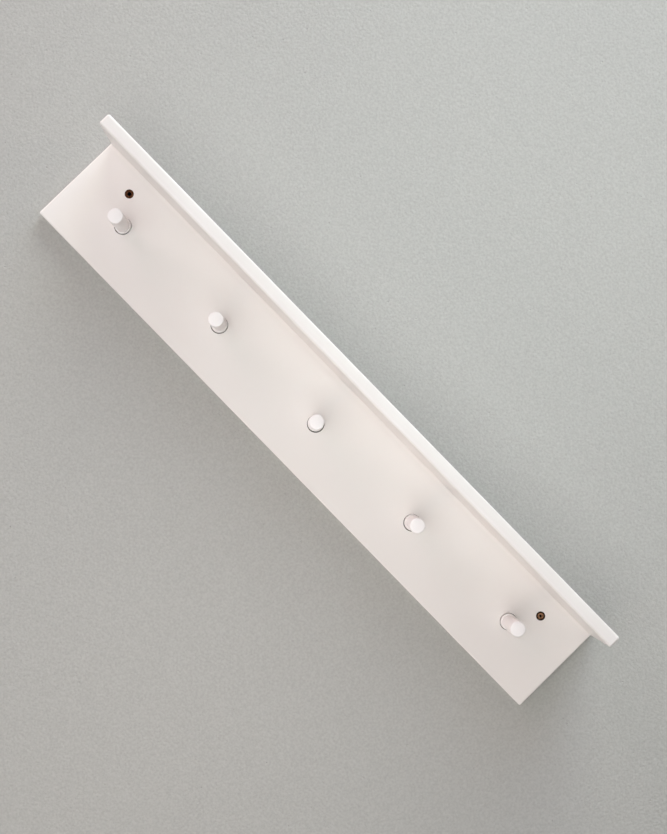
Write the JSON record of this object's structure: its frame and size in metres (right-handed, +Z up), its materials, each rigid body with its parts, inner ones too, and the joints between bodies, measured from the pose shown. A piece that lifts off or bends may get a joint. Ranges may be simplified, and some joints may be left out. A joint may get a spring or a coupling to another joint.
{
  "type": "shaker peg rail with shelf",
  "caption": "Wall-hung white lacquered shelf on a flat rail with a row of round turned pegs, screwed to the wall near the rail's upper corners.",
  "frame": {"origin": "on the wall face (the rail's back), midway between the two wall screws", "axes": "+X along the rail to the viewer's right, +Y into the wall, +Z up"},
  "size_m": [0.7, 0.1318, 0.115],
  "materials": {
    "lacquered_board": "smooth fibreboard in warm white satin lacquer",
    "lacquered_peg": "turned beech in warm white satin lacquer",
    "bronze_screw": "steel, dark bronze plating",
    "beech_dowel": "bare beech"
  },
  "bodies": {
    "root": {"back_rail": "lacquered_board", "shelf_board": "lacquered_board", "peg_1": "lacquered_peg", "peg_2": "lacquered_peg", "peg_3": "lacquered_peg", "peg_4": "lacquered_peg", "peg_5": "lacquered_peg", "peg_dowel_1": "beech_dowel", "peg_dowel_2": "beech_dowel", "peg_dowel_3": "beech_dowel", "peg_dowel_4": "beech_dowel", "peg_dowel_5": "beech_dowel", "shelf_dowel_1": "beech_dowel", "shelf_dowel_2": "beech_dowel", "shelf_dowel_3": "beech_dowel", "shelf_dowel_4": "beech_dowel", "shelf_dowel_5": "beech_dowel", "shelf_dowel_6": "beech_dowel", "wall_screw_left": "bronze_screw", "wall_screw_right": "bronze_screw"}
  },
  "joints": []
}
